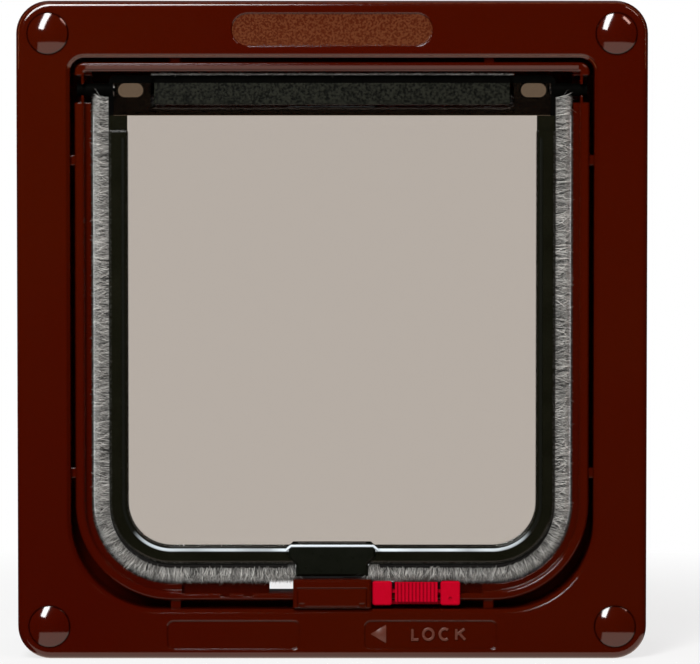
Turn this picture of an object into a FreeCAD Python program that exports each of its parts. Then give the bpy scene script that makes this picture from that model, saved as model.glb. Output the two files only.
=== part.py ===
import FreeCAD, Part
import math
import os

# A cat flap for a door, seen from the room side. Millimetres, +Z up, the room at -Y.
# Two frames clamp on a door and the flap hangs between them in a tunnel ring.
# The origin is below the middle of the flap, where the frames stand.

os.makedirs("parts", exist_ok=True)
V = FreeCAD.Vector

# Frame sizes
frame_width = 192.0
frame_height = 200.6
corner_radius = 10.0
bezel_depth = 9.0
bezel_wall = 2.2
edge_round = 2.2
edge_bevel = 1.6
door_thickness = 40.0

# Opening of the room-side frame and the collar behind it
border_side = 16.25
border_top = 17.3
border_bottom = 15.2
opening_top_radius = 4.5
opening_bottom_radius = 27.0
opening_bevel = 1.1
collar_wall = 1.8
collar_reach = 14.0

# Sleeve of the outer frame, which slides over the collar
sleeve_clearance = 0.3
sleeve_wall = 1.8
sleeve_end_gap = 1.5
sleeve_bevel = 1.0

# Weather lip that hangs in the sleeve, with two slots through it
header_setback = 9.0
header_wall = 2.0
header_drop = 7.3
slot_length = 8.0
slot_height = 4.4
slot_centre = 63.2
slot_rise = 0.5
gusset_count = 3
gusset_pitch = 36.0
gusset_wall = 1.6

# Stiffening ribs in the hollow of both frames
rib_wall = 1.4
rib_setback = 0.6
rib_pitch = 44.0

# Recesses in the face of the room-side frame
plate_depth = 0.5
plate_bevel = 0.25
name_length = 60.9
name_height = 9.7
name_centre_drop = 8.8
label_length = 40.2
label_height = 8.6
label_radius = 1.9
label_centre_x = 30.1
label_centre_z = 7.3

# Screws and their caps
screw_inset_x = 9.7
screw_inset_z = 10.0
boss_half_width = 5.2
shank_radius = 2.0
shank_clearance = 0.3
thread_clearance = 0.05
head_radius = 4.0
head_height = 2.6
head_clearance = 0.3
head_sink = 5.0
thread_depth = 6.5
cross_length = 4.2
cross_width = 1.0
cross_depth = 1.2
cap_radius = 6.25
cap_rise = 2.0
cap_edge = 0.5
cap_stem_length = 1.6
cap_web = 1.2
cap_fit = 0.05

# Tunnel ring that carries the flap
ring_side_gap = 1.5
ring_top_gap = 1.4
ring_bottom_gap = 2.6
ring_bottom_radius = 29.3
ring_top_radius = 3.0
ring_setback = 1.8
ring_depth = 13.2
ring_wall = 4.8
ring_top_wall = 2.7
lip_width = 2.8
lip_step = 2.8
lip_bevel = 0.5
stop_overlap = 1.2
stop_wall = 1.5
nib_length = 3.0
nib_depth = 5.0
nib_corner_inset = 1.15
nib_corner_rise = 9.7
nib_high_drop = 21.4

# Hinge
hinge_drop = 5.6
hinge_setback = 4.2
axle_radius = 2.0
axle_clearance = 0.05
axle_root = 1.7
axle_end_gap = 0.55
bearing_wall = 0.7
bearing_recess = 2.05
pocket_below = 3.9
pocket_above = 4.4
pocket_back = 2.0
mouth_width = 3.4

# Flap
pile_gap = 0.3
pile_side = 5.1
pile_bottom = 3.7
pile_top_height = 0.8
pile_thickness = 1.8
pile_end_drop = 2.4
flap_corner_radius = 19.0
flap_top_radius = 2.0
pane_thickness = 2.2
flap_rise = 4.4
rim_width = 5.5
rim_depth = 5.0
rim_bevel = 0.8
rim_end_drop = 12.6
beam_half_length = 55.2
beam_drop = 5.6
beam_depth = 2.6
beam_round = 1.8
beam_bevel = 1.2

# Holder on the lower edge of the flap, with the magnet of the flap
tab_half_width = 11.05
tab_shoulder = 2.3
tab_height = 10.2
tab_shoulder_height = 4.3
tab_depth = 7.0
tab_gap = 0.6
tab_bevel = 0.8
tab_corner = 1.4
tab_wall = 0.6
tab_fit = 0.05
pane_seat = 2.3

# Magnets and their pockets
magnet_left = 9.7
magnet_right = 2.9
magnet_fit = 0.1
flap_magnet_height = 5.6
flap_magnet_depth = 4.0
flap_magnet_floor = 1.3
flap_cap_wall = 0.9
flap_cap_ledge = 0.8
frame_magnet_height = 4.6
frame_magnet_depth = 8.0

# Magnet box of the ring
box_half_width = 11.9
box_rise = 1.8
box_foot_gap = 0.5
box_proud = 0.9
box_depth = 13.9
box_bevel = 0.6
cover_half_width = 10.6
cover_height = 5.9
cover_rise = 0.2
cover_wall = 0.6
cover_bevel = 0.3
cover_fit = 0.05
cover_notch_width = 1.5
cover_notch_height = 1.2
cover_notch_depth = 0.3

# Lock slider on the rail
slide_travel = 7.0
slide_clearance = 0.2
rail_depth = 3.0
rail_height = 2.1
rail_bevel = 0.5
rail_end = 46.0
slider_start = 12.3
slider_end_block = 6.0
slider_grip = 13.0
slider_seam = 0.9
slider_plate = 1.1
slider_rise = 3.9
slider_foot = 1.4
slider_leg = 1.5
clip_start = 3.2
clip_inset = 0.7
hook_depth = 1.2
block_radius = 0.8
block_bevel = 0.35
dimple_radius = 0.5
dimple_depth = 0.4
dimple_rise = 2.1
grip_ribs = 12
grip_rib_width = 0.7
grip_rib_height = 0.5
grip_inset_low = 1.0
grip_inset_top = 0.3
notch_width = 2.9
notch_depth = 1.0
notch_first = 25.65
notch_play = 0.25
nib_track = 1.5
see_through_end = 19.3

# Lock finger that stands in a groove of the tab
finger_width = 1.6
finger_thickness = 1.4
finger_side_gap = 0.25
finger_reach = 1.8
finger_clearance = 0.8

# Depth stations
total_depth = cap_rise + 2 * bezel_depth + door_thickness
face_y = cap_rise - total_depth / 2
door_front_y = face_y + bezel_depth
door_back_y = door_front_y + door_thickness
back_y = door_back_y + bezel_depth
collar_end_y = door_front_y + collar_reach
ring_front_y = face_y + ring_setback
ring_back_y = ring_front_y + ring_depth
axis_y = ring_front_y + hinge_setback

# Outlines as half width, bottom, top, bottom radius and top radius
outer = (frame_width / 2, 0.0, frame_height, corner_radius, corner_radius)
opening = (
    frame_width / 2 - border_side,
    border_bottom,
    frame_height - border_top,
    opening_bottom_radius,
    opening_top_radius,
)


def grown(outline, amount):
    """The same outline, moved outward everywhere by an amount."""
    half, low, high, low_radius, high_radius = outline
    return (
        half + amount,
        low - amount,
        high + amount,
        max(low_radius + amount, 0.3),
        max(high_radius + amount, 0.3),
    )


ring_outer = (
    opening[0] - ring_side_gap,
    opening[1] + ring_bottom_gap,
    opening[2] - ring_top_gap,
    ring_bottom_radius,
    ring_top_radius,
)
ring_inner = (
    ring_outer[0] - ring_wall,
    ring_outer[1] + ring_wall,
    ring_outer[2] - ring_top_wall,
    ring_outer[3] - ring_wall,
    0.6,
)
axis_z = ring_inner[2] - hinge_drop


def prism(outline, y0, y1):
    """A solid with a rounded outline in the XZ plane, from y0 to y1."""
    half, low, high, rb, rt = outline
    c = math.sqrt(0.5)
    corners = (
        (half - rb, low + rb, rb, 1, -1),
        (half - rt, high - rt, rt, 1, 1),
        (-half + rt, high - rt, rt, -1, 1),
        (-half + rb, low + rb, rb, -1, -1),
    )
    arcs = []
    for index, (cx, cz, r, sx, sz) in enumerate(corners):
        side = V(cx + sx * r, y0, cz)
        end = V(cx, y0, cz + sz * r)
        middle = V(cx + sx * r * c, y0, cz + sz * r * c)
        first, last = (end, side) if index % 2 == 0 else (side, end)
        arcs.append((first, middle, last))
    edges = []
    for index, (first, middle, last) in enumerate(arcs):
        edges.append(Part.Arc(first, middle, last).toShape())
        following = arcs[(index + 1) % 4][0]
        if last.distanceToPoint(following) > 1e-6:
            edges.append(Part.LineSegment(last, following).toShape())
    return Part.Face(Part.Wire(edges)).extrude(V(0, y1 - y0, 0))


def box(x0, x1, y0, y1, z0, z1):
    return Part.makeBox(x1 - x0, y1 - y0, z1 - z0, V(x0, y0, z0))


def rod_y(x, z, radius, y0, y1):
    return Part.makeCylinder(radius, y1 - y0, V(x, y0, z), V(0, 1, 0))


def rod_x(y, z, radius, x0, x1):
    return Part.makeCylinder(radius, x1 - x0, V(x0, y, z), V(1, 0, 0))


def pad(points, y0, y1):
    """A solid from a closed polygon of (x, z) points, from y0 to y1."""
    corners = [V(x, y0, z) for x, z in points]
    return Part.Face(Part.makePolygon(corners + corners[:1])).extrude(V(0, y1 - y0, 0))


def side_pad(points, x0, x1):
    """A solid from a closed polygon of (y, z) points, from x0 to x1."""
    corners = [V(x0, y, z) for y, z in points]
    return Part.Face(Part.makePolygon(corners + corners[:1])).extrude(V(x1 - x0, 0, 0))


def slab(centre_x, centre_z, length, height, radius, y0, y1):
    """A rounded rectangle round a centre, from y0 to y1."""
    outline = (length / 2, centre_z - height / 2, centre_z + height / 2, radius, radius)
    shape = prism(outline, y0, y1)
    shape.translate(V(centre_x, 0, 0))
    return shape


def edges_at(shape, y, reach=None, within=None):
    """Edges that lie in the plane y, outside or inside a half width."""
    found = []
    for edge in shape.Edges:
        b = edge.BoundBox
        if abs(b.YMin - y) > 1e-4 or abs(b.YMax - y) > 1e-4:
            continue
        far = max(abs(b.XMin), abs(b.XMax))
        if reach is not None and far < reach and b.ZMax < frame_height - 1 and b.ZMin > 1:
            continue
        if within is not None and (far > within + 0.01 or b.ZMax > frame_height - 1 or b.ZMin < 1):
            continue
        found.append(edge)
    return found


def export(shape, name):
    shape.exportStep("parts/" + name + ".step")


screw_places = {
    "top_left": (-outer[0] + screw_inset_x, frame_height - screw_inset_z),
    "top_right": (outer[0] - screw_inset_x, frame_height - screw_inset_z),
    "bottom_left": (-outer[0] + screw_inset_x, screw_inset_z),
    "bottom_right": (outer[0] - screw_inset_x, screw_inset_z),
}


def hollow_ribs(y0, y1, core):
    """Webs across the hollow of a frame, from its outer wall to the core."""
    webs = []
    inner = grown(outer, -bezel_wall / 2)
    for step in (-1.5, -0.5, 0.5, 1.5):
        x = step * rib_pitch
        webs.append(box(x - rib_wall / 2, x + rib_wall / 2, y0, y1, inner[1], inner[2]))
    middle = (core[1] + core[2]) / 2
    for step in (-1.0, 0.0, 1.0):
        z = middle + step * rib_pitch
        webs.append(box(-inner[0], inner[0], y0, y1, z - rib_wall / 2, z + rib_wall / 2))
    return webs[0].multiFuse(webs[1:]).cut(prism(core, y0, y1))


def frame_shell(front, back, core):
    """A hollow frame with its face at front, open towards the door at back. The face that the
    room sees is rounded, and the outer one is bevelled."""
    low, high = min(front, back), max(front, back)
    inward = 1 if back > front else -1
    blank = prism(outer, low, high)
    if inward > 0:
        blank = blank.makeFillet(edge_round, edges_at(blank, front))
    else:
        blank = blank.makeChamfer(edge_bevel, edges_at(blank, front))
    face_back = front + inward * bezel_wall
    span = sorted((face_back, back))
    hollow = prism(grown(outer, -bezel_wall), span[0], span[1]).cut(prism(core, span[0], span[1]))
    rib_end = back - inward * rib_setback
    rib_span = sorted((face_back - inward * bezel_wall / 2, rib_end))
    ribs = hollow_ribs(rib_span[0], rib_span[1], core)
    bosses = []
    for x, z in screw_places.values():
        side = math.copysign(1, x)
        x0, x1 = sorted((x - side * boss_half_width, side * (outer[0] - bezel_wall / 2)))
        z0, z1 = z - boss_half_width, frame_height - bezel_wall / 2
        if z < frame_height / 2:
            z0, z1 = bezel_wall / 2, z + boss_half_width
        bosses.append(box(x0, x1, span[0], span[1], z0, z1))
    hollow = hollow.cut(bosses[0].multiFuse(bosses[1:])).cut(ribs)
    return blank.cut(hollow)


# Room-side frame: a hollow bezel with a collar that lines the cut-out of the door
collar_outer = grown(opening, collar_wall)
shell = frame_shell(face_y, door_front_y, collar_outer)
collar = prism(collar_outer, door_front_y, collar_end_y)
front_frame = shell.fuse(collar).cut(prism(opening, face_y, collar_end_y))
front_frame = front_frame.makeChamfer(opening_bevel, edges_at(front_frame, face_y, within=opening[0]))

# A stop inside the collar carries the back of the ring
stop = prism(collar_outer, ring_back_y, ring_back_y + stop_wall)
stop = stop.cut(prism(grown(ring_outer, -stop_overlap), ring_back_y, ring_back_y + stop_wall))
front_frame = front_frame.fuse(stop)

# Shallow plates in the face, one above the opening and two below it
name_z = frame_height - name_centre_drop
plates = [
    (0, name_z, name_length, name_height, name_height / 2 - 0.01),
    (-label_centre_x, label_centre_z, label_length, label_height, label_radius),
    (label_centre_x, label_centre_z, label_length, label_height, label_radius),
]
for x, z, length, height, radius in plates:
    bevel = slab(x, z, length + 2 * plate_bevel, height + 2 * plate_bevel, radius + plate_bevel,
                 face_y, face_y + plate_bevel)
    bevel = bevel.makeChamfer(plate_bevel - 0.01, edges_at(bevel, face_y + plate_bevel))
    floor = slab(x, z, length, height, radius, face_y, face_y + plate_depth)
    front_frame = front_frame.cut(floor.fuse(bevel))

# Screw holes with a sink for the head under each cap
head_seat_y = face_y + head_sink
for x, z in screw_places.values():
    hole = rod_y(x, z, shank_radius + shank_clearance, head_seat_y, door_front_y)
    sink = rod_y(x, z, head_radius + head_clearance, face_y, head_seat_y)
    front_frame = front_frame.cut(hole.fuse(sink))
front_frame = front_frame.removeSplitter()
export(front_frame, "front_frame")

# Outer frame: the same bezel with a sleeve that slides over the collar
sleeve_inner = grown(collar_outer, sleeve_clearance)
sleeve_outer = grown(sleeve_inner, sleeve_wall)
sleeve_front_y = door_front_y + sleeve_end_gap
shell = frame_shell(back_y, door_back_y, sleeve_outer)
sleeve = prism(sleeve_outer, sleeve_front_y, door_back_y)
rear_frame = shell.fuse(sleeve).cut(prism(sleeve_inner, sleeve_front_y, back_y))
rear_frame = rear_frame.makeChamfer(sleeve_bevel, edges_at(rear_frame, back_y, within=sleeve_inner[0]))

# Weather lip across the top of the sleeve, with its slots and gussets
header_y = door_back_y - header_setback
header_z = axis_z - header_drop
header = prism(sleeve_outer, header_y, header_y + header_wall)
header = header.cut(box(-outer[0], outer[0], header_y, header_y + header_wall, 0, header_z))
for side in (-1, 1):
    header = header.cut(slab(side * slot_centre, axis_z + slot_rise, slot_length, slot_height,
                             slot_height / 2 - 0.01, header_y, header_y + header_wall))
gussets = []
gusset_back_y = door_back_y + bezel_depth / 2
for index in range(gusset_count):
    x = (index - (gusset_count - 1) / 2) * gusset_pitch
    top = sleeve_inner[2] + sleeve_wall / 2
    points = [(header_y + header_wall / 2, header_z + 3), (header_y + header_wall / 2, top)]
    points.append((gusset_back_y, top))
    gussets.append(side_pad(points, x - gusset_wall / 2, x + gusset_wall / 2))
rear_frame = rear_frame.fuse(header)
if gussets:
    rear_frame = rear_frame.multiFuse(gussets)

# Blind holes that take the screw threads
thread_end_y = door_back_y + thread_depth
for x, z in screw_places.values():
    rear_frame = rear_frame.cut(rod_y(x, z, shank_radius + thread_clearance, door_back_y, thread_end_y))
rear_frame = rear_frame.removeSplitter()
export(rear_frame, "rear_frame")

# Screws, from the sink in one frame to the blind hole in the other
screw_end_y = thread_end_y - 0.5
for name, (x, z) in screw_places.items():
    head = rod_y(x, z, head_radius, head_seat_y - head_height, head_seat_y)
    shank = rod_y(x, z, shank_radius, head_seat_y, screw_end_y)
    top_y = head_seat_y - head_height
    reach = cross_length / 2
    half = cross_width / 2
    cross = box(x - reach, x + reach, top_y, top_y + cross_depth, z - half, z + half)
    cross = cross.fuse(box(x - half, x + half, top_y, top_y + cross_depth, z - reach, z + reach))
    export(head.fuse(shank).cut(cross).removeSplitter(), "screw_" + name)

# Domed caps with crossed webs that plug the sinks
dome_rise = cap_rise - cap_edge
dome_radius = (cap_radius ** 2 + dome_rise ** 2) / (2 * dome_rise)
web_half = cap_web / 2
web_reach = math.sqrt((head_radius + head_clearance - cap_fit) ** 2 - web_half ** 2)
for name, (x, z) in screw_places.items():
    ball = Part.makeSphere(dome_radius, V(x, face_y - cap_rise + dome_radius, z))
    disc = rod_y(x, z, cap_radius, face_y - cap_rise, face_y).common(ball)
    web_end_y = face_y + cap_stem_length
    level_web = box(x - web_reach, x + web_reach, face_y, web_end_y, z - web_half, z + web_half)
    upright_web = box(x - web_half, x + web_half, face_y, web_end_y, z - web_reach, z + web_reach)
    export(disc.multiFuse([level_web, upright_web]).removeSplitter(), "screw_cap_" + name)

# Tunnel ring: a stepped wall, thinner in front, that the flap brushes with its pile
step_y = ring_front_y + lip_step
mouth = grown(ring_outer, -lip_width)
mouth = (mouth[0], mouth[1], ring_inner[2], mouth[3], 0.6)
ring = prism(ring_outer, ring_front_y, ring_back_y)
ring = ring.cut(prism(ring_inner, ring_front_y, ring_back_y))
ring = ring.cut(prism(mouth, ring_front_y, step_y))
ring = ring.makeChamfer(lip_bevel, edges_at(ring, ring_front_y))

# Hinge pockets on both sides of a thin wall, with a bearing and the mouth where the axle snaps in
for side in (-1, 1):
    wall_outer = ring_outer[0] - bearing_recess
    wall_inner = wall_outer - bearing_wall
    for near, far in ((ring_inner[0] - 1, wall_inner), (wall_outer, ring_outer[0] + 1)):
        x0, x1 = sorted((side * near, side * far))
        ring = ring.cut(box(x0, x1, ring_front_y, ring_back_y - pocket_back,
                            axis_z - pocket_below, axis_z + pocket_above))
    x0, x1 = sorted((side * (wall_inner - 1), side * (wall_outer + 1)))
    bearing = rod_x(axis_y, axis_z, axle_radius + axle_clearance, x0, x1)
    half = mouth_width / 2
    gap = box(x0, x1, ring_front_y, axis_y, axis_z - half, axis_z + half)
    ring = ring.cut(bearing.fuse(gap))

# Locating nibs that centre the ring in the collar
nib_y = ring_front_y + 1.0
nib_level_x = ring_outer[0] - ring_bottom_radius - nib_corner_inset
nib_low_z = ring_outer[1] + ring_bottom_radius + nib_corner_rise
nibs = []
for side in (-1, 1):
    x = side * nib_level_x
    half = nib_length / 2
    nibs.append(box(x - half, x + half, nib_y, nib_y + nib_depth, ring_outer[2] - 1, opening[2]))
    nibs.append(box(x - half, x + half, nib_y, nib_y + nib_depth, opening[1], ring_outer[1] + 1))
    x0, x1 = sorted((side * (ring_outer[0] - 1), side * opening[0]))
    for z in (axis_z - nib_high_drop, nib_low_z):
        nibs.append(box(x0, x1, nib_y, nib_y + nib_depth, z - half, z + half))
ring = ring.multiFuse(nibs)

# Rail for the slider: the front lip stays and the wall behind it is cut away
rail_top = ring_outer[1] + rail_height
rail_back_y = ring_front_y + rail_depth
leg_gap = slider_leg + 2 * slide_clearance
window_back_y = rail_back_y + leg_gap
rail_edge = [
    (ring_front_y, rail_top - rail_bevel),
    (ring_front_y, rail_top),
    (ring_front_y + rail_bevel, rail_top),
]
for side in (-1, 1):
    x0, x1 = sorted((side * (box_half_width - 1), side * rail_end))
    ring = ring.cut(side_pad(rail_edge, x0, x1))
    ring = ring.cut(box(x0, x1, ring_front_y, window_back_y, rail_top, ring_inner[1] + 4))
    ring = ring.cut(box(x0, x1, rail_back_y, window_back_y, ring_outer[1] - 1, ring_inner[1] + 4))
    x0, x1 = sorted((side * (box_half_width - 1), side * see_through_end))
    ring = ring.cut(box(x0, x1, ring_front_y, ring_back_y, rail_top, ring_inner[1] + 4))
    for place in (notch_first, notch_first + slide_travel):
        x = side * place
        ring = ring.cut(box(x - notch_width / 2, x + notch_width / 2, ring_front_y, rail_back_y,
                            rail_top - notch_depth, rail_top + 1))
    x0, x1 = sorted((side * (notch_first - notch_width / 2),
                     side * (notch_first + slide_travel + notch_width / 2)))
    ring = ring.cut(box(x0, x1, rail_back_y - nib_track, rail_back_y, rail_top - notch_depth, rail_top + 1))

# Magnet box on the ring, its right end a hood that the slider runs into
box_top = ring_inner[1] + box_rise
box_foot = opening[1] + box_foot_gap
box_front_y = face_y - box_proud
box_back_y = box_front_y + box_depth
block = box(-box_half_width, box_half_width, box_front_y, box_back_y, box_foot, box_top)
upper_edges = [e for e in edges_at(block, box_front_y) if e.BoundBox.ZMax > box_foot + box_bevel]
ring = ring.fuse(block.makeChamfer(box_bevel, upper_edges))

slider_top = rail_top + slider_rise
slider_low = ring_outer[1] - slider_foot
plate_back_y = ring_front_y - slide_clearance
plate_front_y = plate_back_y - slider_plate
bridge_low = rail_top + slide_clearance
bridge_high = bridge_low + slider_leg
leg_front_y = rail_back_y + slide_clearance
leg_back_y = leg_front_y + slider_leg
finger_y = axis_y
finger_front_y = finger_y - finger_thickness / 2
finger_back_y = finger_y + finger_thickness / 2
finger_x = tab_half_width + finger_side_gap
tab_low = box_top + tab_gap
finger_top = tab_low + finger_reach
hood_left = finger_x - slide_travel - finger_clearance
hood_right = box_half_width + 1
clear = slide_clearance
hood = [
    box(hood_left, hood_right, plate_front_y - clear, ring_front_y, slider_low - clear, slider_top + clear),
    box(hood_left, hood_right, ring_front_y, max(leg_back_y, finger_back_y) + clear,
        rail_top, bridge_high + clear),
    box(hood_left, hood_right, rail_back_y, max(leg_back_y, finger_back_y) + clear,
        box_foot - 1, bridge_high + clear),
    box(hood_left, hood_right, plate_front_y - clear, rail_back_y, slider_low - clear, ring_outer[1]),
    box(hood_left, hood_right, finger_front_y - clear, finger_back_y + clear, bridge_high, box_top + 1),
]
ring = ring.cut(hood[0].multiFuse(hood[1:]))

# Seat of the magnet cover and the pocket behind it
cover_low = box_foot + cover_rise
seat = box(-cover_half_width, cover_half_width, box_front_y, box_front_y + cover_wall,
           cover_low, cover_low + cover_height)
magnet_z = cover_low + cover_height / 2
magnet_y = box_front_y + cover_wall
pocket = box(-magnet_left - magnet_fit, magnet_right + magnet_fit, magnet_y, magnet_y + frame_magnet_depth,
             magnet_z - frame_magnet_height / 2 - magnet_fit, magnet_z + frame_magnet_height / 2 + magnet_fit)
ring = ring.cut(seat.fuse(pocket)).removeSplitter()
export(ring, "flap_ring")

cover = box(-cover_half_width + cover_fit, cover_half_width - cover_fit, box_front_y, magnet_y,
            cover_low + cover_fit, cover_low + cover_height - cover_fit)
cover = cover.makeChamfer(cover_bevel, edges_at(cover, box_front_y))
for side in (-1, 1):
    x0, x1 = sorted((side * (cover_half_width - 0.7 - cover_notch_width), side * (cover_half_width - 0.7)))
    cover = cover.cut(box(x0, x1, box_front_y, box_front_y + cover_notch_depth,
                          cover_low, cover_low + cover_notch_height))
export(cover, "magnet_cover")

frame_magnet = box(-magnet_left, magnet_right, magnet_y, magnet_y + frame_magnet_depth - magnet_fit,
                   magnet_z - frame_magnet_height / 2, magnet_z + frame_magnet_height / 2)
export(frame_magnet, "frame_magnet")

# Lock slider: a ribbed grip between two blocks, clipped round the rail
grip_x = slider_start + slider_end_block + slider_seam
far_x = grip_x + slider_grip + slider_seam
slider_end = far_x + slider_end_block
grip_low = slider_low + grip_inset_low
grip_top = slider_top - grip_inset_top
slider = box(grip_x, grip_x + slider_grip, plate_front_y + grip_rib_height, plate_back_y, grip_low, grip_top)
rib_step = (slider_grip - grip_rib_width) / (grip_ribs - 1)
ribs = []
for index in range(grip_ribs):
    x = grip_x + index * rib_step
    ribs.append(box(x, x + grip_rib_width, plate_front_y, plate_front_y + grip_rib_height,
                    grip_low, grip_top))
slider = slider.multiFuse(ribs)
bridge_x0 = slider_start + clip_start
bridge_x1 = slider_end - clip_inset
leg_low = ring_outer[1] - slide_clearance - hook_depth
clip = [
    box(bridge_x0, bridge_x1, plate_back_y, leg_back_y, bridge_low, bridge_high),
    box(bridge_x0, bridge_x1, leg_front_y, leg_back_y, leg_low, bridge_high),
    box(bridge_x0, bridge_x1, leg_front_y - hook_depth, leg_back_y, leg_low,
        ring_outer[1] - slide_clearance),
]
for x in (slider_start, far_x):
    block = slab(x + slider_end_block / 2, (slider_low + slider_top) / 2, slider_end_block,
                 slider_top - slider_low, block_radius, plate_front_y, plate_back_y)
    clip.append(block.makeChamfer(block_bevel, edges_at(block, plate_front_y)))
    clip.append(box(max(x + clip_inset, bridge_x0), x + slider_end_block - clip_inset, plate_back_y,
                    plate_back_y + hook_depth, slider_low, ring_outer[1] - slide_clearance))
nib_x = notch_first + slide_travel
nib_half = notch_width / 2 - notch_play
clip.append(box(nib_x - nib_half, nib_x + nib_half, rail_back_y - nib_track + slide_clearance, leg_front_y,
                rail_top - notch_depth + notch_play, bridge_high))
clip.append(box(finger_x, bridge_x0 + 0.5, finger_front_y, finger_back_y, bridge_low, bridge_high))
clip.append(box(finger_x, finger_x + finger_width, finger_front_y, finger_back_y, bridge_low, finger_top))
slider = slider.multiFuse(clip)
dimple = rod_y(far_x + slider_end_block / 2, slider_low + dimple_rise, dimple_radius,
               plate_front_y, plate_front_y + dimple_depth)
slider = slider.cut(dimple).removeSplitter()
export(slider, "lock_slider")

# Flap: pane, rim, hinge beam and stub axles in one moulding
flap_low = tab_low + pile_bottom
flap_half = ring_inner[0] - pile_gap - pile_side
flap_high = axis_z + flap_rise
flap_outline = (flap_half, flap_low, flap_high, flap_corner_radius, flap_top_radius)
pane = prism(flap_outline, axis_y - pane_thickness / 2, axis_y + pane_thickness / 2)
rim_front_y = axis_y - rim_depth / 2
rim_back_y = axis_y + rim_depth / 2
rim = prism(flap_outline, rim_front_y, rim_back_y)
rim = rim.makeChamfer(rim_bevel, edges_at(rim, rim_front_y) + edges_at(rim, rim_back_y))
rim = rim.cut(prism(grown(flap_outline, -rim_width), rim_front_y, rim_back_y))
rim_end_z = axis_z - rim_end_drop
rim = rim.cut(box(-flap_half, flap_half, rim_front_y, rim_back_y, rim_end_z, flap_high))
beam_outline = (beam_half_length, axis_z - beam_drop, flap_high, beam_round, beam_round)
beam = prism(beam_outline, axis_y - beam_depth, axis_y)
beam = beam.makeChamfer(beam_bevel, edges_at(beam, axis_y - beam_depth))
flap = pane.multiFuse([rim, beam])
axle_end = ring_outer[0] - axle_end_gap
for side in (-1, 1):
    x0, x1 = sorted((side * (flap_half - axle_root), side * axle_end))
    axle = rod_x(axis_y, axis_z, axle_radius, x0, x1)
    flap = flap.fuse(axle)

tab_top = tab_low + tab_height
notch_half = tab_half_width - tab_wall
notch_top = tab_top - pane_seat
notch = box(-notch_half, notch_half, rim_front_y, rim_back_y, flap_low, tab_top)
tongue = box(-notch_half, notch_half, axis_y - pane_thickness / 2, axis_y + pane_thickness / 2,
             notch_top, tab_top)
flap = flap.cut(notch.cut(tongue)).removeSplitter()
export(flap, "flap")

# Magnet holder: a block with shoulders that grip the rim on both sides of a notch in it
shoulder = tab_half_width + tab_shoulder
tab_front_y = axis_y - tab_depth / 2
tab_back_y = axis_y + tab_depth / 2
tab_points = [
    (-tab_half_width, tab_low),
    (tab_half_width, tab_low),
    (tab_half_width, tab_top - tab_shoulder_height - tab_shoulder),
    (shoulder, tab_top - tab_shoulder_height),
    (shoulder, tab_top - tab_corner),
    (shoulder - tab_corner, tab_top),
    (-shoulder + tab_corner, tab_top),
    (-shoulder, tab_top - tab_corner),
    (-shoulder, tab_top - tab_shoulder_height),
    (-tab_half_width, tab_top - tab_shoulder_height - tab_shoulder),
]
tab = pad(tab_points, tab_front_y, tab_back_y)
tab = tab.makeChamfer(tab_bevel, edges_at(tab, tab_front_y))
for side in (-1, 1):
    x0, x1 = sorted((side * (notch_half - tab_fit), side * (shoulder + 1)))
    tab = tab.cut(box(x0, x1, rim_front_y - tab_fit, rim_back_y + tab_fit, flap_low - tab_fit, tab_top))
tab = tab.cut(box(-shoulder, shoulder, axis_y - pane_thickness / 2 - tab_fit,
                  axis_y + pane_thickness / 2 + tab_fit, notch_top - tab_fit, tab_top))

# Groove that the lock finger enters, and the magnet pocket, which opens at the back
groove = box(hood_left, tab_half_width + 1, finger_front_y - finger_clearance,
             finger_back_y + finger_clearance, tab_low - 1, finger_top + finger_clearance)
pocket_z0 = tab_low + flap_magnet_floor
pocket_z1 = pocket_z0 + flap_magnet_height + 2 * magnet_fit
pocket_y1 = tab_back_y - flap_cap_wall
pocket_y0 = pocket_y1 - flap_magnet_depth - magnet_fit
pocket = box(-magnet_left, magnet_right, pocket_y0, pocket_y1, pocket_z0, pocket_z1)
lid = box(-magnet_left - flap_cap_ledge, magnet_right + flap_cap_ledge, pocket_y1, tab_back_y,
          pocket_z0 - flap_cap_ledge, pocket_z1 + flap_cap_ledge)
tab = tab.cut(groove).cut(pocket.fuse(lid)).removeSplitter()
export(tab, "magnet_holder")

flap_magnet = box(-magnet_left + magnet_fit, magnet_right - magnet_fit, pocket_y0 + magnet_fit, pocket_y1,
                  pocket_z0 + magnet_fit, pocket_z1 - magnet_fit)
export(flap_magnet, "flap_magnet")
ease = cover_fit
flap_cap = box(-magnet_left - flap_cap_ledge + ease, magnet_right + flap_cap_ledge - ease, pocket_y1, tab_back_y,
               pocket_z0 - flap_cap_ledge + ease, pocket_z1 + flap_cap_ledge - ease)
export(flap_cap, "flap_magnet_cap")

# Pile strips round the edge of the flap: two that bend round the lower corners, one on top
pile_y0 = axis_y - pile_thickness / 2
pile_y1 = axis_y + pile_thickness / 2
pile_outline = (
    flap_half + pile_side,
    flap_low - pile_bottom,
    flap_high,
    ring_inner[3] - pile_gap,
    flap_top_radius,
)
pile_high = axis_z - pile_end_drop
band = prism(pile_outline, pile_y0, pile_y1).cut(prism(flap_outline, pile_y0, pile_y1))
band = band.cut(box(-outer[0], outer[0], pile_y0, pile_y1, pile_high, frame_height))
left_end = -tab_half_width - pile_gap
right_end = finger_x + finger_width + 3 * pile_gap
export(band.cut(box(left_end, outer[0], pile_y0, pile_y1, 0, frame_height)), "pile_left")
export(band.cut(box(-outer[0], right_end, pile_y0, pile_y1, 0, frame_height)), "pile_right")
pile_top = box(-beam_half_length, beam_half_length, axis_y - pane_thickness / 2, axis_y + pane_thickness / 2,
               flap_high, flap_high + pile_top_height)
export(pile_top, "pile_top")
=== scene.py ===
import math
import bpy
import numpy as np
from mathutils import Matrix, Vector


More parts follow.
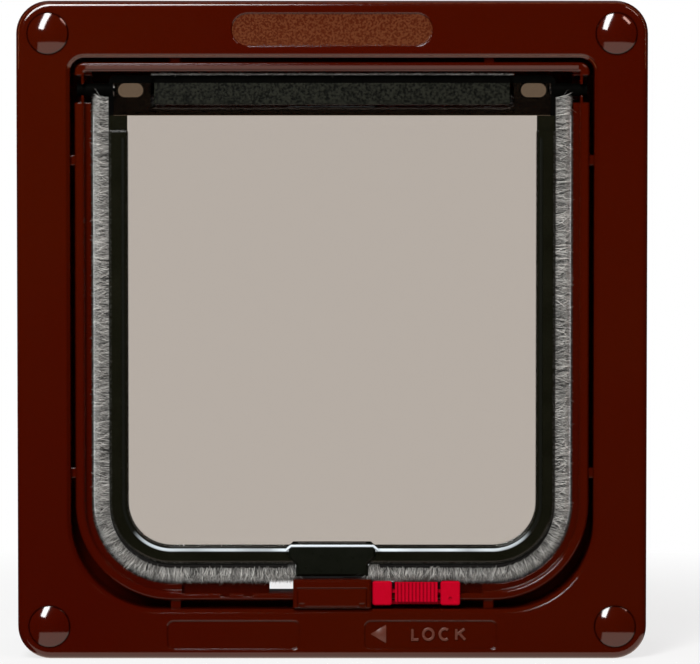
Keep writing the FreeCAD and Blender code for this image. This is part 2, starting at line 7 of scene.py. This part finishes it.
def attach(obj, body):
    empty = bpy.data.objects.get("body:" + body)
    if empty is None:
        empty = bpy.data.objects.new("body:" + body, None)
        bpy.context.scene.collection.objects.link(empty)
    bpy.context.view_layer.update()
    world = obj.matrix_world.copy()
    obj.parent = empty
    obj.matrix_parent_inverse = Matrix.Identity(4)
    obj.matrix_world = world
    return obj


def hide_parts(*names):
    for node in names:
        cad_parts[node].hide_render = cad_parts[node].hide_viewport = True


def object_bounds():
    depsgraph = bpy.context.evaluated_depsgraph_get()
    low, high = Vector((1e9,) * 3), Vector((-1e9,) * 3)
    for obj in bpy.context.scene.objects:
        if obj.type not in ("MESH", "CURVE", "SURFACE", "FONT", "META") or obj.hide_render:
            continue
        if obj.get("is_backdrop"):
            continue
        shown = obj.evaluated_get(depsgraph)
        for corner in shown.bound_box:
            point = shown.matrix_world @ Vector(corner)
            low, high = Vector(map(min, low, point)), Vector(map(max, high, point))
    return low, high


# A cat flap for a door, as it stands on a table with the room side forward. Metres, +Z up.
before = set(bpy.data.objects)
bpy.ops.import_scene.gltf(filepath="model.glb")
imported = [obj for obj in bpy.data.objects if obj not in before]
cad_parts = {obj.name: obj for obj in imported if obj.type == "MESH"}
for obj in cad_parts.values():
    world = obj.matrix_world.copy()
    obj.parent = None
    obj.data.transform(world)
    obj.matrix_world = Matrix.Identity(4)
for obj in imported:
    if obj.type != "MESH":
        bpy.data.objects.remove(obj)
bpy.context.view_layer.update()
MM = 0.001


# Camera and studio.
# The flap was photographed from about 1.2 m, a little above its middle, on a white table.
# A strip lamp stands above the camera, leaning to the left, and a small lamp to the right.
picture_width = 0.2130
camera_distance = 1.2
camera_pitch = math.radians(2.5)
aim = Vector((0.0, -0.028, 0.1003))
lens = bpy.data.cameras.new("camera")
camera = bpy.data.objects.new("camera", lens)
bpy.context.collection.objects.link(camera)
lens.sensor_width = 36.0
lens.lens = 36.0 * camera_distance / picture_width
lens.shift_x = 17.9 / 700
lens.shift_y = -1.1 / 700
lens.clip_start = 0.01
lens.clip_end = 50.0
camera.location = aim + camera_distance * Vector((0.0, -math.cos(camera_pitch), math.sin(camera_pitch)))
camera.rotation_euler = (math.pi / 2 - camera_pitch, 0.0, 0.0)
bpy.context.scene.camera = camera
bpy.context.scene.view_settings.view_transform = "Standard"


class Wire:
    """A shader socket that takes plain arithmetic: each operator adds one Math node."""

    def __init__(self, tree, socket):
        self.tree = tree
        self.socket = socket

    def maths(self, operation, first, second=None):
        node = self.tree.nodes.new("ShaderNodeMath")
        node.operation = operation
        for slot, value in zip(node.inputs, (first, second)):
            if isinstance(value, Wire):
                self.tree.links.new(value.socket, slot)
            elif value is not None:
                slot.default_value = value
        return Wire(self.tree, node.outputs[0])

    def __add__(self, other):
        return self.maths("ADD", self, other)

    def __radd__(self, other):
        return self.maths("ADD", other, self)

    def __sub__(self, other):
        return self.maths("SUBTRACT", self, other)

    def __rsub__(self, other):
        return self.maths("SUBTRACT", other, self)

    def __mul__(self, other):
        return self.maths("MULTIPLY", self, other)

    def __rmul__(self, other):
        return self.maths("MULTIPLY", other, self)

    def __abs__(self):
        return self.maths("ABSOLUTE", self)

    def above(self, limit):
        return self.maths("GREATER_THAN", self, limit)

    def below(self, limit):
        return self.maths("LESS_THAN", self, limit)

    def ramp(self, start, stop):
        """Rises from 0 to 1 between two values."""
        rise = (self - start) * (1.0 / (stop - start))
        return self.maths("MAXIMUM", self.maths("MINIMUM", rise, 1.0), 0.0)


class Finish:
    """The shader of one finish: nodes are added with their settings first and their inputs after."""

    def __init__(self, name, tree=None):
        self.material = None
        if tree is None:
            self.material = bpy.data.materials.new(name)
            self.material.use_nodes = True
            tree = self.material.node_tree
        self.tree = tree
        self.surface = tree.nodes.get("Principled BSDF")
        self.exit = tree.nodes.get("Material Output") or tree.nodes.get("World Output")

    def node(self, kind, settings=None, inputs=None):
        node = self.tree.nodes.new(kind)
        for key, value in (settings or {}).items():
            setattr(node, key, value)
        self.feed(node, inputs or {})
        return node

    def feed(self, node, inputs):
        for key, value in inputs.items():
            if isinstance(value, Wire):
                self.tree.links.new(value.socket, node.inputs[key])
            else:
                node.inputs[key].default_value = value

    def wire(self, node, output=0):
        return Wire(self.tree, node.outputs[output])

    def place(self):
        """Object coordinates as three wires."""
        coords = self.wire(self.node("ShaderNodeTexCoord"), "Object")
        split = self.node("ShaderNodeSeparateXYZ", None, {"Vector": coords})
        return self.wire(split, "X"), self.wire(split, "Y"), self.wire(split, "Z")

    def noise(self, scale, detail=2.0, roughness=0.5):
        coords = self.wire(self.node("ShaderNodeTexCoord"), "Object")
        inputs = {"Vector": coords, "Scale": scale, "Detail": detail, "Roughness": roughness}
        return self.wire(self.node("ShaderNodeTexNoise", None, inputs), "Fac")

    def mix(self, factor, first, second):
        inputs = {"Factor": factor, 6: first, 7: second}
        node = self.node("ShaderNodeMix", {"data_type": "RGBA"}, inputs)
        return self.wire(node, 2)

    def relief(self, height, distance, strength, edge):
        """Bumps on the surface, whose sharp edges are rounded off by a radius."""
        rounded = self.wire(self.node("ShaderNodeBevel", {"samples": 4}, {"Radius": edge}), "Normal")
        inputs = {"Strength": strength, "Distance": distance, "Height": height, "Normal": rounded}
        bumps = self.wire(self.node("ShaderNodeBump", None, inputs), "Normal")
        self.feed(self.surface, {"Normal": bumps})
        return bumps

    def blend(self, factor, second):
        """Lays a second shader over the first where the factor is 1."""
        first = self.exit.inputs["Surface"].links[0].from_socket
        node = self.node("ShaderNodeMixShader", None, {0: factor})
        self.tree.links.new(first, node.inputs[1])
        self.tree.links.new(second.outputs[0], node.inputs[2])
        self.tree.links.new(node.outputs[0], self.exit.inputs["Surface"])


def rgb(red, green, blue):
    """A colour from its 0 to 255 screen values, as linear light."""
    screen = np.array([red, green, blue]) / 255.0
    light = np.where(screen <= 0.04045, screen / 12.92, ((screen + 0.055) / 1.055) ** 2.4)
    return (*light.tolist(), 1.0)


def dress(node_names, finish):
    """Gives a finish to CAD nodes, whose shape is already right."""
    for name in node_names:
        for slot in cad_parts[name].material_slots:
            slot.material = finish.material


world = bpy.data.worlds.new("studio")
bpy.context.scene.world = world
world.use_nodes = True
world.cycles.sampling_method = "NONE"
studio = Finish("studio", world.node_tree)
background = world.node_tree.nodes["Background"]
direction = studio.wire(studio.node("ShaderNodeTexCoord"), "Generated")
axes = studio.node("ShaderNodeSeparateXYZ", None, {"Vector": direction})
rays = studio.node("ShaderNodeLightPath")
seen = studio.wire(rays, "Is Camera Ray")
through = studio.wire(rays, "Is Transmission Ray")
mirrored = studio.wire(rays, "Is Glossy Ray")
behind = studio.wire(axes, "Y").above(0.15)
under = studio.wire(axes, "Z").below(-0.345) * studio.wire(axes, "X").above(-0.47)
bright = behind * 0.02 + under * 1.4
white = seen + through - seen * through
ambient = (1 - white) * (0.5 * (1 - mirrored) + mirrored * (bright + 0.0015))
wood = studio.mix(under * mirrored * (1 - white), (1.0, 1.0, 1.0, 1.0), (1.0, 0.8, 0.68, 1.0))
studio.feed(background, {"Color": wood, "Strength": white + ambient})


def soft_lamp(name, start, stop, width, power, colour=(1.0, 1.0, 1.0)):
    """A soft strip lamp from one end to the other that faces the flap."""
    start = Vector(start)
    stop = Vector(stop)
    light = bpy.data.lights.new(name, "AREA")
    light.shape = "RECTANGLE"
    light.size = width
    light.size_y = (stop - start).length
    light.energy = power
    light.color = colour
    lamp = bpy.data.objects.new(name, light)
    bpy.context.collection.objects.link(lamp)
    lamp.location = (start + stop) / 2
    back = (lamp.location - aim).normalized()
    across = (stop - start).cross(back).normalized()
    lamp.rotation_euler = Matrix((across, back.cross(across), back)).transposed().to_euler()
    return lamp


soft_lamp("lamp_strip", (-0.60, -1.41, 0.57), (-0.10, -0.75, 1.25), 0.3, 28.0)
soft_lamp("lamp_right", (0.79, -0.85, 0.70), (0.50, -0.84, 1.03), 0.12, 2.4, (1.0, 0.6, 0.52))
soft_lamp("lamp_top", (-0.5, 0.5, 1.3), (0.5, 0.5, 1.3), 0.8, 1.5)

table_half = 4.0
front = -1.0
back = 6.0
corners = [(-table_half, front, 0), (table_half, front, 0), (table_half, back, 0), (-table_half, back, 0)]
table_mesh = bpy.data.meshes.new("table")
table_mesh.from_pydata(corners, [], [(0, 1, 2, 3)])
table = bpy.data.objects.new("table", table_mesh)
bpy.context.collection.objects.link(table)
table.visible_glossy = False
paper = Finish("table_white")
paper.feed(paper.surface, {"Base Color": (0.8, 0.8, 0.8, 1.0), "Roughness": 0.9})
x, y, z = paper.place()
far = (x * x + y * y).ramp(0.02, 0.11)
glow = paper.node("ShaderNodeEmission", None, {
    "Color": (1.0, 1.0, 1.0, 1.0),
    "Strength": 0.92 + 0.08 * far,
})
rays = paper.node("ShaderNodeLightPath")
lit = paper.wire(rays, "Is Camera Ray") + paper.wire(rays, "Is Transmission Ray")
paper.blend(lit * (0.8 + 0.2 * far), glow)
table_mesh.materials.append(paper.material)
table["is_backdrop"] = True


# Frames, ring, magnet cover and screw caps.
# Moulded in one deep brown plastic with a polished face. The floor of the name plate is
# stippled, and the edges are as sharp or round as the mould leaves them.
plate_floor = -27.5 * MM
name_low_z = 0.18
cap_across = 86.3 * MM
cap_up = 90.3 * MM
face_middle = 100.3 * MM
gap_inner = 6.0 * MM
gap_outer = 6.4 * MM
gap_front = -27.0 * MM
brown = Finish("brown_gloss")
x, y, z = brown.place()
drift = brown.noise(9.0, 3.0)
deep = rgb(45, 1, 0)
warm = rgb(50, 10, 0)
plate = abs(y - plate_floor).below(0.1 * MM) * z.above(name_low_z)
stipple = brown.noise(1500.0, 1.0)
peel = brown.noise(120.0, 2.0)
# Stipple spots on the name plate's floor, with painted shade that darkens the floor towards its top.
stipple_and_painted_shade = 0.2 + 0.6 * stipple.ramp(0.4, 0.6) + 0.2 * z.ramp(0.1975, 0.186)
moulded = brown.mix(plate * stipple_and_painted_shade, brown.mix(drift, deep, warm), rgb(78, 41, 23))
# Painted shadow: a thin near-black ring in the gap round each screw cap on the front.
cap_x = abs(x) - cap_across
cap_z = abs(z - face_middle) - cap_up
from_cap = cap_x * cap_x + cap_z * cap_z
cap_painted_shadow = from_cap.above(gap_inner ** 2) * from_cap.below(gap_outer ** 2) * y.below(gap_front)
brown.feed(brown.surface, {
    "Base Color": brown.mix(cap_painted_shadow * 0.85, moulded, rgb(10, 0, 0)),
    "Roughness": 0.06 + 0.05 * brown.noise(260.0, 3.0),
    "IOR": 1.5,
})
brown.relief(peel * 0.05 + plate * stipple * 3.0, 0.05 * MM, 0.6, 0.4 * MM)
dress(["front_frame", "rear_frame", "flap_ring", "magnet_cover"], brown)
dress([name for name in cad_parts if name.startswith("screw_cap")], brown)


# Arrow and lettering of the lock.
# Raised in the mould from the floor of the right plate below the opening, with domed strokes.
# The word is generic, and the arrow points the way the slider moves.
letter_height = 0.42 * MM
stroke_width = 0.9 * MM


def grid_faces(rows, columns, closed=False):
    """Quads of a grid of rows by columns, joined end to end where the rows close."""
    top = rows if closed else rows - 1
    r, c = np.meshgrid(np.arange(top), np.arange(columns - 1), indexing="ij")
    following = (r + 1) % rows
    quads = (r * columns + c, r * columns + c + 1, following * columns + c + 1, following * columns + c)
    return np.stack(quads, axis=-1).reshape(-1, 4)


def make_piece(name, points, faces, finish, smooth=True):
    """A piece at the origin from its points and faces, with its finish."""
    mesh = bpy.data.meshes.new(name)
    mesh.from_pydata(points.tolist(), [], faces.tolist() if hasattr(faces, "tolist") else faces)
    mesh.polygons.foreach_set("use_smooth", np.full(len(mesh.polygons), smooth))
    mesh.materials.append(finish.material)
    piece = bpy.data.objects.new(name, mesh)
    bpy.context.collection.objects.link(piece)
    return piece


def stroke(path, closed=False, width=stroke_width, floor=plate_floor, rise=letter_height):
    """A domed strip along a path of (x, z) points: its height is a half ellipse across the width,
    cut flat at three quarters of its crown."""
    path = np.asarray(path)
    if closed:
        ahead = np.roll(path, -1, axis=0) - np.roll(path, 1, axis=0)
    else:
        ahead = np.gradient(path, axis=0)
    ahead /= np.linalg.norm(ahead, axis=1, keepdims=True)
    across = np.stack((-ahead[:, 1], ahead[:, 0]), axis=1)
    angle = np.linspace(0.0, math.pi, 9)
    offset = -np.cos(angle) * width / 2
    lift = np.clip(np.sin(angle), 0.0, 0.75) / 0.75 * rise
    flat = path[:, None, :] + across[:, None, :] * offset[None, :, None]
    depth = np.broadcast_to(floor - lift, flat.shape[:2])
    points = np.stack((flat[..., 0], depth, flat[..., 1]), axis=-1).reshape(-1, 3)
    return points, grid_faces(len(path), 9, closed)


def line(*corners):
    """Evenly spaced points along straight runs between corners."""
    corners = np.array(corners, dtype=float) * MM
    runs = [np.linspace(a, b, 8, endpoint=False) for a, b in zip(corners[:-1], corners[1:])]
    return np.concatenate(runs + [corners[-1:]])


def bow(centre_x, centre_z, half_width, half_height, start, stop, count=40):
    """Points of an ellipse arc, from one angle to another."""
    angle = np.radians(np.linspace(start, stop, count))
    across = centre_x + half_width * np.cos(angle)
    up = centre_z + half_height * np.sin(angle)
    return np.stack((across, up), axis=1) * MM


low, high = 5.9, 9.2
middle = (low + high) / 2
half = (high - low) / 2
strokes = [
    stroke(line((24.55, high), (24.55, low))),
    stroke(line((24.15, low), (26.35, low))),
    stroke(bow(29.4, middle, 1.55, half, 0, 351), True),
    stroke(bow(34.4, middle, 1.5, half, 52, 308)),
    stroke(line((37.95, high), (37.95, low))),
    stroke(line((40.4, high), (38.05, middle - 0.1))),
    stroke(line((38.75, middle + 0.4), (40.6, low))),
]
tip = np.array([(11.7, 7.63), (16.5, 10.5), (16.5, 4.76)]) * MM
inner = tip.mean(axis=0) + (tip - tip.mean(axis=0)) * 0.86
arrow = np.concatenate((
    np.insert(tip, 1, plate_floor, axis=1),
    np.insert(inner, 1, plate_floor - letter_height, axis=1),
))
arrow_faces = [(0, 3, 5, 2), (2, 5, 4, 1), (1, 4, 3, 0), (3, 4, 5)]
points = [arrow]
faces = [list(face) for face in arrow_faces]
start = len(arrow)
for stroke_points, stroke_faces in strokes:
    points.append(stroke_points)
    faces += (stroke_faces + start).tolist()
    start += len(stroke_points)
letters_finish = Finish("brown_letters")
letters_finish.feed(letters_finish.surface, {
    "Base Color": letters_finish.mix(letters_finish.noise(700.0, 2.0), rgb(66, 29, 19), rgb(79, 40, 28)),
    "Roughness": 0.35 + 0.1 * letters_finish.noise(900.0, 2.0),
    "Specular IOR Level": 0.3,
})
letters = make_piece("lock_lettering", np.concatenate(points), faces, letters_finish)
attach(letters, "base")


# Flap.
# One moulding of smoked clear plastic: a polished pane, a rim so thick that it looks black,
# a stippled bar across the hinge, and a stub axle at each end.
rim_inner_half = 62.5 * MM
rim_inner_low = 34.2 * MM
rim_corner = 13.5 * MM
window_high = 165.8 * MM
bar_half = 54.2 * MM
bar_low = 169.1 * MM
bar_high = 175.7 * MM
bar_face = -24.4 * MM
painted_shade_start = 66.7 * MM
smoke = Finish("smoked_clear")
x, y, z = smoke.place()
side = abs(x)
beyond_side = side.above(rim_inner_half)
beyond_low = z.below(rim_inner_low)
beyond_top = z.above(window_high)
corner_x = side - (rim_inner_half - rim_corner)
corner_z = (rim_inner_low + rim_corner) - z
in_corner = corner_x.above(0.0) * corner_z.above(0.0)
reach = (corner_x * corner_x + corner_z * corner_z).above(rim_corner * rim_corner)
edge = beyond_low + beyond_side * (1 - beyond_top) + in_corner * reach
edge = edge.above(0.5)
tint = smoke.mix(beyond_top, rgb(184, 175, 166), rgb(98, 82, 66))
tint = smoke.mix(edge, tint, rgb(22, 21, 17))
# Painted shade: above the bar the flap is tinted near black, standing in for the shaded header seen through
# it.
tint = smoke.mix(z.above(bar_high), tint, rgb(3, 3, 3))
bar = side.below(bar_half) * z.above(bar_low) * z.below(bar_high) * y.below(bar_face)
tint = smoke.mix(bar, tint, rgb(22, 23, 19))
smoke.feed(smoke.surface, {
    "Base Color": tint,
    "Roughness": bar * 0.4 + 0.02,
    "IOR": 1.49,
    "Transmission Weight": 1.0,
})
bumps = smoke.relief(bar * smoke.noise(1400.0, 1.0), 0.12 * MM, 0.7, 0.6 * MM)
solid = smoke.node("ShaderNodeBsdfPrincipled", None, {
    "Base Color": smoke.mix(smoke.noise(90.0, 2.0), rgb(7, 7, 3), rgb(18, 18, 11)),
    "Roughness": 0.07,
    "IOR": 1.49,
    "Normal": bumps,
})
smoke.blend(edge * 0.92, solid)
satin = smoke.node("ShaderNodeBsdfPrincipled", None, {
    "Base Color": smoke.mix(smoke.noise(1400.0, 1.0).ramp(0.35, 0.65), rgb(2, 3, 1), rgb(25, 26, 20)),
    "Roughness": 0.4,
    "Specular IOR Level": 0.04,
    "Normal": bumps,
})
smoke.blend(bar * 0.95, satin)
# Painted shade: above the bar, and beyond the slots at the hinge ends, a near-black matt surface covers the
# flap, standing in for the shaded header and pocket behind it; it also hides the gloss of the stub axles.
painted_shade_matt = smoke.node("ShaderNodeBsdfPrincipled", None, {
    "Base Color": smoke.mix(smoke.noise(200.0, 2.0), rgb(0, 0, 0), rgb(4, 4, 3)),
    "Roughness": 0.6,
    "Specular IOR Level": 0.01,
})
smoke.blend((z.above(bar_high) + side.above(painted_shade_start) * beyond_top).above(0.5), painted_shade_matt)
dress(["flap"], smoke)


# Lips of the flap and trim of the ring.
# A rounded lip follows the inner edge of the flap's rim, another the top of the magnet
# holder, and both carry a painted highlight that stands in for the lamp's glint on their
# edges. A sloping trim lies on the ring's top.
rim_front = -24.5 * MM
holder_front = -25.5 * MM
ring_front = -26.15 * MM
lip_half = 63.7
lip_low = 33.0
lip_radius = 14.7
lip_high = 159.0
trim_half = 75.0 * MM
clear = Finish("clear_lip_with_painted_glint")
# Painted highlight: an attribute at each point mixes the lip from near black to pale grey, standing in for
# the lamp's glint.
light = clear.wire(clear.node("ShaderNodeAttribute", {"attribute_name": "lip_painted_highlight"}), "Fac")
clear.feed(clear.surface, {
    "Base Color": clear.mix(light, rgb(12, 13, 9), rgb(196, 206, 212)),
    "Roughness": 0.2 + 0.1 * clear.noise(500.0, 2.0),
    "Specular IOR Level": 0.15,
})


def flap_lip(name, path, lights, width, floor):
    """A domed lip on the flap with a painted highlight, whose brightness is given at each point of its
    path.
    """
    points, faces = stroke(path, False, width * MM, floor, 0.3 * MM)
    piece = make_piece(name, points, faces, clear)
    # Painted highlight across the lip, brightest just past its crown.
    section = np.array([0.0, 0.1, 0.4, 0.8, 1.0, 1.0, 0.9, 0.5, 0.2])
    attribute = piece.data.attributes.new("lip_painted_highlight", "FLOAT", "POINT")
    attribute.data.foreach_set("value", (lights[:, None] * section).ravel())
    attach(piece, "flap")


lip_centre = lip_half - lip_radius
lip_turn = lip_low + lip_radius
left_side = line((-lip_half, lip_high), (-lip_half, lip_turn))[:-1]
left_bow = bow(-lip_centre, lip_turn, lip_radius, lip_radius, 180, 270)
level = np.stack((np.linspace(-lip_centre, lip_centre, 121)[1:-1], np.full(119, lip_low)), axis=1) * MM
right_bow = bow(lip_centre, lip_turn, lip_radius, lip_radius, 270, 360)
right_side = line((lip_half, lip_turn), (lip_half, lip_high))[1:]
path = np.concatenate((left_side, left_bow, level, right_bow, right_side))
rise = (path[:, 1] / MM - lip_low) / lip_radius
# Painted highlight along the rim lip: broken into brighter and dimmer stretches, and fading out up the
# sides.
rng = np.random.default_rng(5)
uneven_glint = np.interp(path[:, 0] / MM, np.linspace(-64.0, 64.0, 24), rng.uniform(0.45, 1.0, 24))
flap_lip("rim_lip_painted_glint", path, uneven_glint * np.clip(1.0 - 2.6 * rise, 0.0, 1.0), 1.15, rim_front)
holder_path = line((-14.3, 32.9), (-12.6, 34.4), (12.6, 34.4), (14.3, 32.9))
flap_lip("holder_lip_painted_glint", holder_path, np.linspace(0.95, 0.8, len(holder_path)), 0.85, holder_front)
section = np.array([(ring_front, 181.4), (ring_front - 0.45 * MM, 181.05), (ring_front, 179.6)])
section[:, 1] *= MM
ends = [np.column_stack((np.full(3, end), section)) for end in (-trim_half, trim_half)]
trim_faces = [(0, 3, 4, 1), (1, 4, 5, 2), (2, 5, 3, 0), (0, 1, 2), (5, 4, 3)]
trim = make_piece("ring_trim", np.concatenate(ends), trim_faces, brown, False)
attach(trim, "base")


# Magnet holder and its lid.
# Black plastic block on the lower edge of the flap, satin, with its edges rounded in the shading.
black = Finish("black_satin")
black.feed(black.surface, {
    "Base Color": black.mix(black.noise(300.0, 3.0), rgb(4, 6, 2), rgb(10, 12, 6)),
    "Roughness": 0.24 + 0.12 * black.noise(800.0, 2.0),
    "Specular IOR Level": 0.15,
})
black.relief(black.noise(1800.0, 2.0), 0.03 * MM, 0.5, 0.5 * MM)
dress(["magnet_holder", "flap_magnet_cap"], black)


# Pile strips.
# Dense grey fibres that stand out all round the edge of the flap and brush the ring: two
# strips bend round the lower corners, and a short one lies along the top.
fibre_width = 0.13 * MM
flap_half = 68.0 * MM
flap_low = 28.7 * MM
flap_corner = 19.0 * MM
pile_end = 171.2 * MM
pile_y = -22.0 * MM
finger_end = 14.2 * MM
finger_front = -23.0 * MM
pile = Finish("grey_pile")
shade = pile.wire(pile.node("ShaderNodeAttribute", {"attribute_name": "fibre_shade"}), "Fac")
pile.feed(pile.surface, {
    "Base Color": pile.mix(shade, rgb(9, 9, 8), rgb(228, 227, 221)),
    "Roughness": 0.62 + 0.1 * pile.noise(600.0, 2.0),
    "Specular IOR Level": 0.15,
})


def flap_edge(distance):
    """Points and outward directions along the edge of the flap, from its upper end down round
    the corner and along the lower edge. Distance is measured along the edge."""
    straight = pile_end - (flap_low + flap_corner)
    turn = flap_corner * math.pi / 2
    along = np.clip(distance - straight, 0.0, turn) / flap_corner
    down = np.minimum(distance, straight)
    level = np.maximum(distance - straight - turn, 0.0)
    px = flap_half - flap_corner + flap_corner * np.cos(along) - level
    pz = pile_end - down
    pz = np.where(distance > straight, flap_low + flap_corner - flap_corner * np.sin(along), pz)
    return np.stack((px, pz), axis=1), np.stack((np.cos(along), -np.sin(along)), axis=1)


def fibres(base, outward, length, side, seed):
    """Tapered three-sided fibres of two joints, each from a base point outward with its own lean.
    A fibre's line is base + t * length * outward + t * t * bend, for t from 0 to 1."""
    rng = np.random.default_rng(seed)
    count = len(base)
    spin = rng.uniform(0.0, 2 * math.pi, count)
    bend = rng.normal(0.0, 0.3, (count, 3)) * length[:, None]
    bend -= (bend * outward).sum(axis=1, keepdims=True) * outward
    width = fibre_width * rng.uniform(0.6, 1.3, count)
    rings = []
    for t, size in ((0.0, 1.0), (0.55, 0.8)):
        centre = base + outward * (t * length)[:, None] + bend * t * t
        for corner in range(3):
            angle = spin + corner * 2 * math.pi / 3
            across = np.stack((side[:, 0], np.zeros(count), side[:, 1]), axis=1)
            away = across * np.cos(angle)[:, None]
            away[:, 1] += np.sin(angle)
            rings.append(centre + away * (width * size)[:, None])
    rings.append(base + outward * length[:, None] + bend)
    points = np.stack(rings, axis=1)
    pattern = np.array([(0, 1, 4), (0, 4, 3), (1, 2, 5), (1, 5, 4), (2, 0, 3), (2, 3, 5),
                        (3, 4, 6), (4, 5, 6), (5, 3, 6)])
    faces = (np.arange(count)[:, None, None] * 7 + pattern[None]).reshape(-1, 3)
    # Painted shade: each fibre darkens towards its root, where the dense pile shades itself, and more so
    # along the bottom than up the sides.
    root = np.where(np.abs(base[:, 0]) > flap_half - 3 * MM, 0.4, 0.1)
    painted_root_shade = np.column_stack((root, root, root, np.full((count, 3), 0.72), np.ones(count)))
    return points.reshape(-1, 3), faces, (rng.beta(1.05, 1.2, count)[:, None] * painted_root_shade).ravel()


def backing(sign, end_x):
    """The dark woven strip that holds the fibres, a profile of (outward, depth) points that is
    carried round the edge of the flap."""
    straight = pile_end - (flap_low + flap_corner)
    total = straight + flap_corner * math.pi / 2 + flap_half - flap_corner - end_x
    flat, away = flap_edge(np.linspace(0.0, total, 70))
    front_half = [(-0.4, -1.2), (1.1, -1.2), (1.4, -0.9)]
    profile = np.array(front_half + [(1.4, 0.9), (1.1, 1.2), (-0.4, 1.2)]) * MM
    deep_part = np.clip(-away[:, 1], 0.12, 1.0)[:, None, None]
    spine = flat[:, None, :] + away[:, None, :] * profile[None, :, :1] * deep_part
    depth = np.broadcast_to(pile_y + profile[:, 1], spine.shape[:2])
    points = np.stack((sign * spine[..., 0], depth, spine[..., 1]), axis=-1).reshape(-1, 3)
    faces = grid_faces(len(profile), len(flat), True)
    corner, row = faces // len(flat), faces % len(flat)
    faces = row * len(profile) + corner
    return points, faces if sign > 0 else faces[:, ::-1]


def pile_strip(name, node, base, outward, length, side, seed, strip=None):
    """One piece of fibres, with the woven strip that holds them, in place of its CAD strip."""
    points, faces, shades = fibres(base, outward, length, side, seed)
    faces = faces.tolist()
    if strip is not None:
        faces += (strip[1] + len(points)).tolist()
        points = np.concatenate((points, strip[0]))
        shades = np.concatenate((shades, np.zeros(len(strip[0]))))
    piece = make_piece(name, points, faces, pile)
    attribute = piece.data.attributes.new("fibre_shade", "FLOAT", "POINT")
    attribute.data.foreach_set("value", shades)
    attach(piece, "flap")
    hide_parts(node)


def bent_pile(name, node, sign, end_x, count, seed):
    """Fibres spread evenly along one side and round its corner, each with a random lean."""
    rng = np.random.default_rng(seed)
    straight = pile_end - (flap_low + flap_corner)
    total = straight + flap_corner * math.pi / 2 + flap_half - flap_corner - end_x
    where = rng.uniform(0.0, total, count)
    flat, away = flap_edge(where)
    depth = pile_y + rng.uniform(-0.9, 0.9, count) * MM
    base = np.stack((sign * flat[:, 0], depth, flat[:, 1]), axis=1)
    over_finger = (base[:, 0] > 0) & (base[:, 0] < finger_end)
    base[over_finger, 1] = finger_front - rng.uniform(0.0, 0.5, over_finger.sum()) * MM
    side_turn = np.stack((-away[:, 1], sign * away[:, 0]), axis=1)
    lean = rng.normal(0.0, 0.22, count)
    outward = np.stack((sign * away[:, 0] + lean * side_turn[:, 0], rng.normal(0.0, 0.1, count),
                        away[:, 1] + lean * side_turn[:, 1]), axis=1)
    outward /= np.linalg.norm(outward, axis=1, keepdims=True)
    length = (rng.uniform(4.7, 5.25, count) + 0.7 * np.clip(-away[:, 1], 0.0, 1.0)) * MM
    pile_strip(name, node, base, outward, length, side_turn, seed, backing(sign, 13.8 * MM))


bent_pile("pile_left_fibres", "pile_left", -1, 11.4 * MM, 21500, 11)
bent_pile("pile_right_fibres", "pile_right", 1, 11.4 * MM, 21500, 12)
rng = np.random.default_rng(13)
count = 6000
base = np.stack((rng.uniform(-55.0, 55.0, count), rng.uniform(-23.4, -21.0, count),
                 np.full(count, 178.05)), axis=1) * MM
outward = np.stack((rng.normal(0.0, 0.25, count), -rng.uniform(0.1, 0.9, count),
                    rng.uniform(0.0, 0.8, count)), axis=1)
outward /= np.linalg.norm(outward, axis=1, keepdims=True)
pile_strip("pile_top_fibres", "pile_top", base, outward, rng.uniform(0.5, 0.95, count) * MM,
           np.tile((1.0, 0.0), (count, 1)), 13)


# Lock slider.
# Red plastic with a satin moulded skin, slid by its ribbed grip along the rail of the ring.
red = Finish("red_satin")
red.feed(red.surface, {
    "Base Color": red.mix(red.noise(500.0, 3.0), rgb(139, 0, 18), rgb(151, 0, 27)),
    "Roughness": 0.34 + 0.1 * red.noise(900.0, 2.0),
    "Specular IOR Level": 0.02,
})
red.relief(red.noise(1500.0, 2.0), 0.02 * MM, 0.5, 0.35 * MM)
dress(["lock_slider"], red)

# The webs between the blocks and the grip lie deep between them, and their red is painted near black as
# shade.
shade_finish = Finish("red_shade")
shade_finish.feed(shade_finish.surface, {
    "Base Color": shade_finish.mix(shade_finish.noise(300.0, 2.0), rgb(10, 0, 1), rgb(18, 0, 3)),
    "Roughness": 0.7 + 0.1 * shade_finish.noise(500.0, 2.0),
    "Specular IOR Level": 0.03,
})
web_sides = ((17.9, 19.4), (31.9, 33.2))
web_depth = (-26.9, -26.5)
web_height = (21.4, 23.5)
box_faces = np.array([(0, 1, 3, 2), (4, 6, 7, 5), (0, 4, 5, 1), (2, 3, 7, 6), (0, 2, 6, 4), (1, 5, 7, 3)])
boxes = [np.stack(np.meshgrid(sides, web_depth, web_height, indexing="ij"), axis=-1) for sides in web_sides]
web_points = np.concatenate([box.reshape(-1, 3) for box in boxes]) * MM
web_faces = np.concatenate((box_faces, box_faces + 8))
webs = make_piece("slider_webs", web_points, web_faces, shade_finish, False)
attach(webs, "slider")


# Magnets and screws.
# Sintered ferrite blocks, dull and slightly grainy, and zinc plated steel screws.
ferrite = Finish("ferrite")
ferrite.feed(ferrite.surface, {
    "Base Color": ferrite.mix(ferrite.noise(2000.0, 3.0), rgb(48, 48, 50), rgb(74, 74, 76)),
    "Roughness": 0.6 + 0.2 * ferrite.noise(1200.0, 2.0),
})
dress(["frame_magnet", "flap_magnet"], ferrite)
steel = Finish("zinc_steel")
steel.feed(steel.surface, {
    "Base Color": steel.mix(steel.noise(400.0, 3.0), rgb(186, 188, 190), rgb(214, 214, 210)),
    "Metallic": 1.0,
    "Roughness": 0.28 + 0.12 * steel.noise(700.0, 2.0),
})
dress([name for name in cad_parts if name.startswith("screw_") and "cap" not in name], steel)

low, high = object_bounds()
